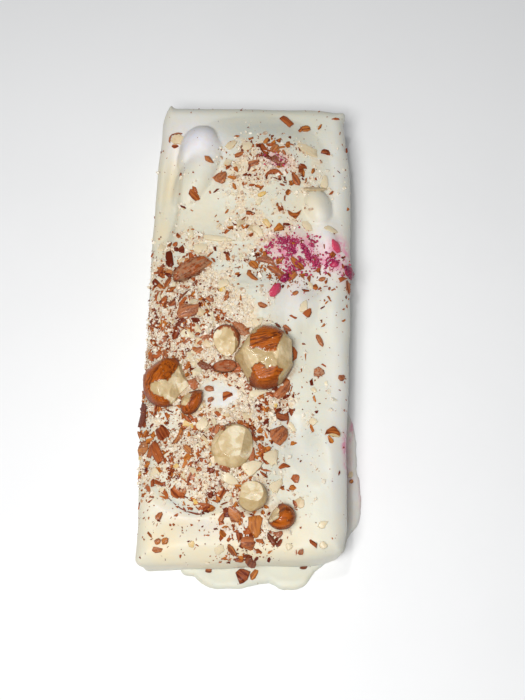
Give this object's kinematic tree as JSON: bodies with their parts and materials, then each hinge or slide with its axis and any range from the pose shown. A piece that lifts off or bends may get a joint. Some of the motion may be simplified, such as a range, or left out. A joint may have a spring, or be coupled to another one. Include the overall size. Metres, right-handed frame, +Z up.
{
  "type": "protein bar",
  "caption": "Rectangular snack bar in a thick white coating, strewn with broken almonds, skin flakes and berry crumbs, with coating run out round one end.",
  "frame": {"origin": "on the surface that the bar rests on, under the middle of the whole footprint, run-out coating included", "axes": "+Y along the bar, away from the end where the coating ran out; +X across it, to the right as seen from that end; +Z up"},
  "size_m": [0.0484, 0.1099, 0.022],
  "materials": {
    "white_coating": "satin white coating, as of set white chocolate, with meal and crumbs stuck in it",
    "almond_flesh": "waxy cream nut flesh on smooth and broken faces",
    "almond_skin": "striated orange-brown nut skin, satin, over cream flesh"
  },
  "bodies": {
    "root": {"coated_bar": "white_coating", "almond_chunk": "almond_skin", "almond_chunk_edge": "almond_skin", "blanched_half": "almond_flesh", "blanched_chunk": "almond_flesh", "round_nut_piece": "almond_skin", "cut_almond_tip": "almond_flesh", "skin_on_chunk": "almond_skin", "almond_sliver": "almond_skin", "skin_wedge": "almond_skin"}
  },
  "joints": []
}
